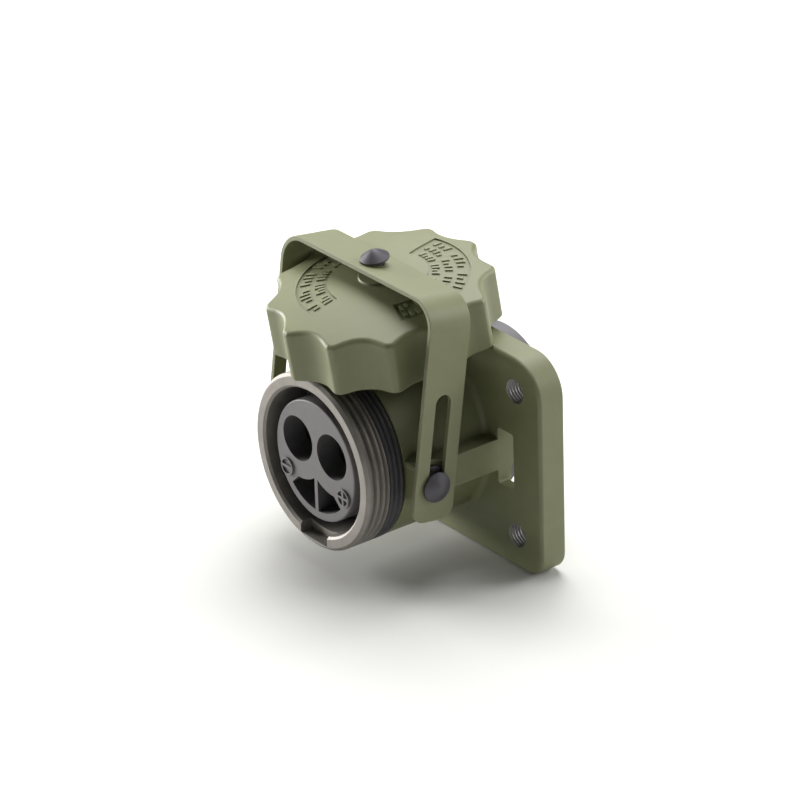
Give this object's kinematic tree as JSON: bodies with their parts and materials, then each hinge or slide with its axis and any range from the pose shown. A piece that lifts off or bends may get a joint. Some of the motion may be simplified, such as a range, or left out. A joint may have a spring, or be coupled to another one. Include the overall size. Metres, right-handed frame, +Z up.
{
  "type": "two-pole power socket with a captive screw cap",
  "caption": "Square-flanged two-pole socket with a threaded collar and a captive screw cap on a swinging bail.",
  "frame": {"origin": "centre of the four-bolt pattern on the flange's back face, on the socket's axis", "axes": "+Z up, -Y out of the socket's open front, +X towards the right bail arm as seen from the front"},
  "size_m": [0.1274, 0.0989, 0.1177],
  "materials": {
    "olive_paint": "semi-matt grey-green enamel",
    "bare_alloy": "turned, dull",
    "black_rubber": "matt",
    "grey_moulding": "moulded, matt",
    "rear_moulding": "moulded, matt",
    "contact_brass": "turned",
    "plated_steel": "zinc plated",
    "blackened_steel": "satin, blackened"
  },
  "bodies": {
    "socket": {"housing": "olive_paint", "front_collar": "bare_alloy", "seal_ring": "black_rubber", "contact_insert": "grey_moulding", "rear_insulator": "grey_moulding", "insert_retainer": "blackened_steel", "contact_positive": "contact_brass", "contact_negative": "contact_brass", "spring_cage_positive": "plated_steel", "spring_cage_negative": "plated_steel", "rear_shroud": "rear_moulding", "terminal_washer_positive": "plated_steel", "terminal_washer_negative": "plated_steel", "terminal_nut_positive": "plated_steel", "terminal_nut_negative": "plated_steel", "rear_screw_1": "plated_steel", "rear_screw_2": "plated_steel", "rear_screw_3": "plated_steel", "rear_screw_4": "plated_steel", "bail_stud_right": "blackened_steel", "bail_stud_left": "blackened_steel"},
    "pivot_washers": {"pivot_washer_right": "blackened_steel", "pivot_washer_left": "blackened_steel"},
    "bail": {"bail": "olive_paint"},
    "rivet": {"cap_rivet": "blackened_steel", "rivet_washer": "plated_steel"},
    "cap": {"cap": "olive_paint", "cap_gasket": "black_rubber"}
  },
  "joints": [
    {"name": "bail_swing", "type": "hinge", "parent": "socket", "child": "pivot_washers", "pos_m": [0, -0.0442, 0], "axis": [1, 0, 0], "range_deg": [0, 98.2]},
    {"name": "bail_slide", "type": "slide", "parent": "pivot_washers", "child": "bail", "axis": [0, -0.1426, -0.9898], "range_m": [0, 0.016]},
    {"name": "cap_rock", "type": "hinge", "parent": "bail", "child": "rivet", "pos_m": [0, -0.03424, 0.06912], "axis": [-1, 0, 0], "range_deg": [0, 17.2]},
    {"name": "cap_spin", "type": "hinge", "parent": "rivet", "child": "cap", "pos_m": [0, -0.03424, 0.06912], "axis": [0, -0.1564, 0.9877], "continuous": true}
  ],
  "couplings": [
    {"joint": "bail_slide", "follows": "bail_swing", "m_per_rad": 0.0093354},
    {"joint": "cap_rock", "follows": "bail_swing", "ratio": 0.17515}
  ]
}
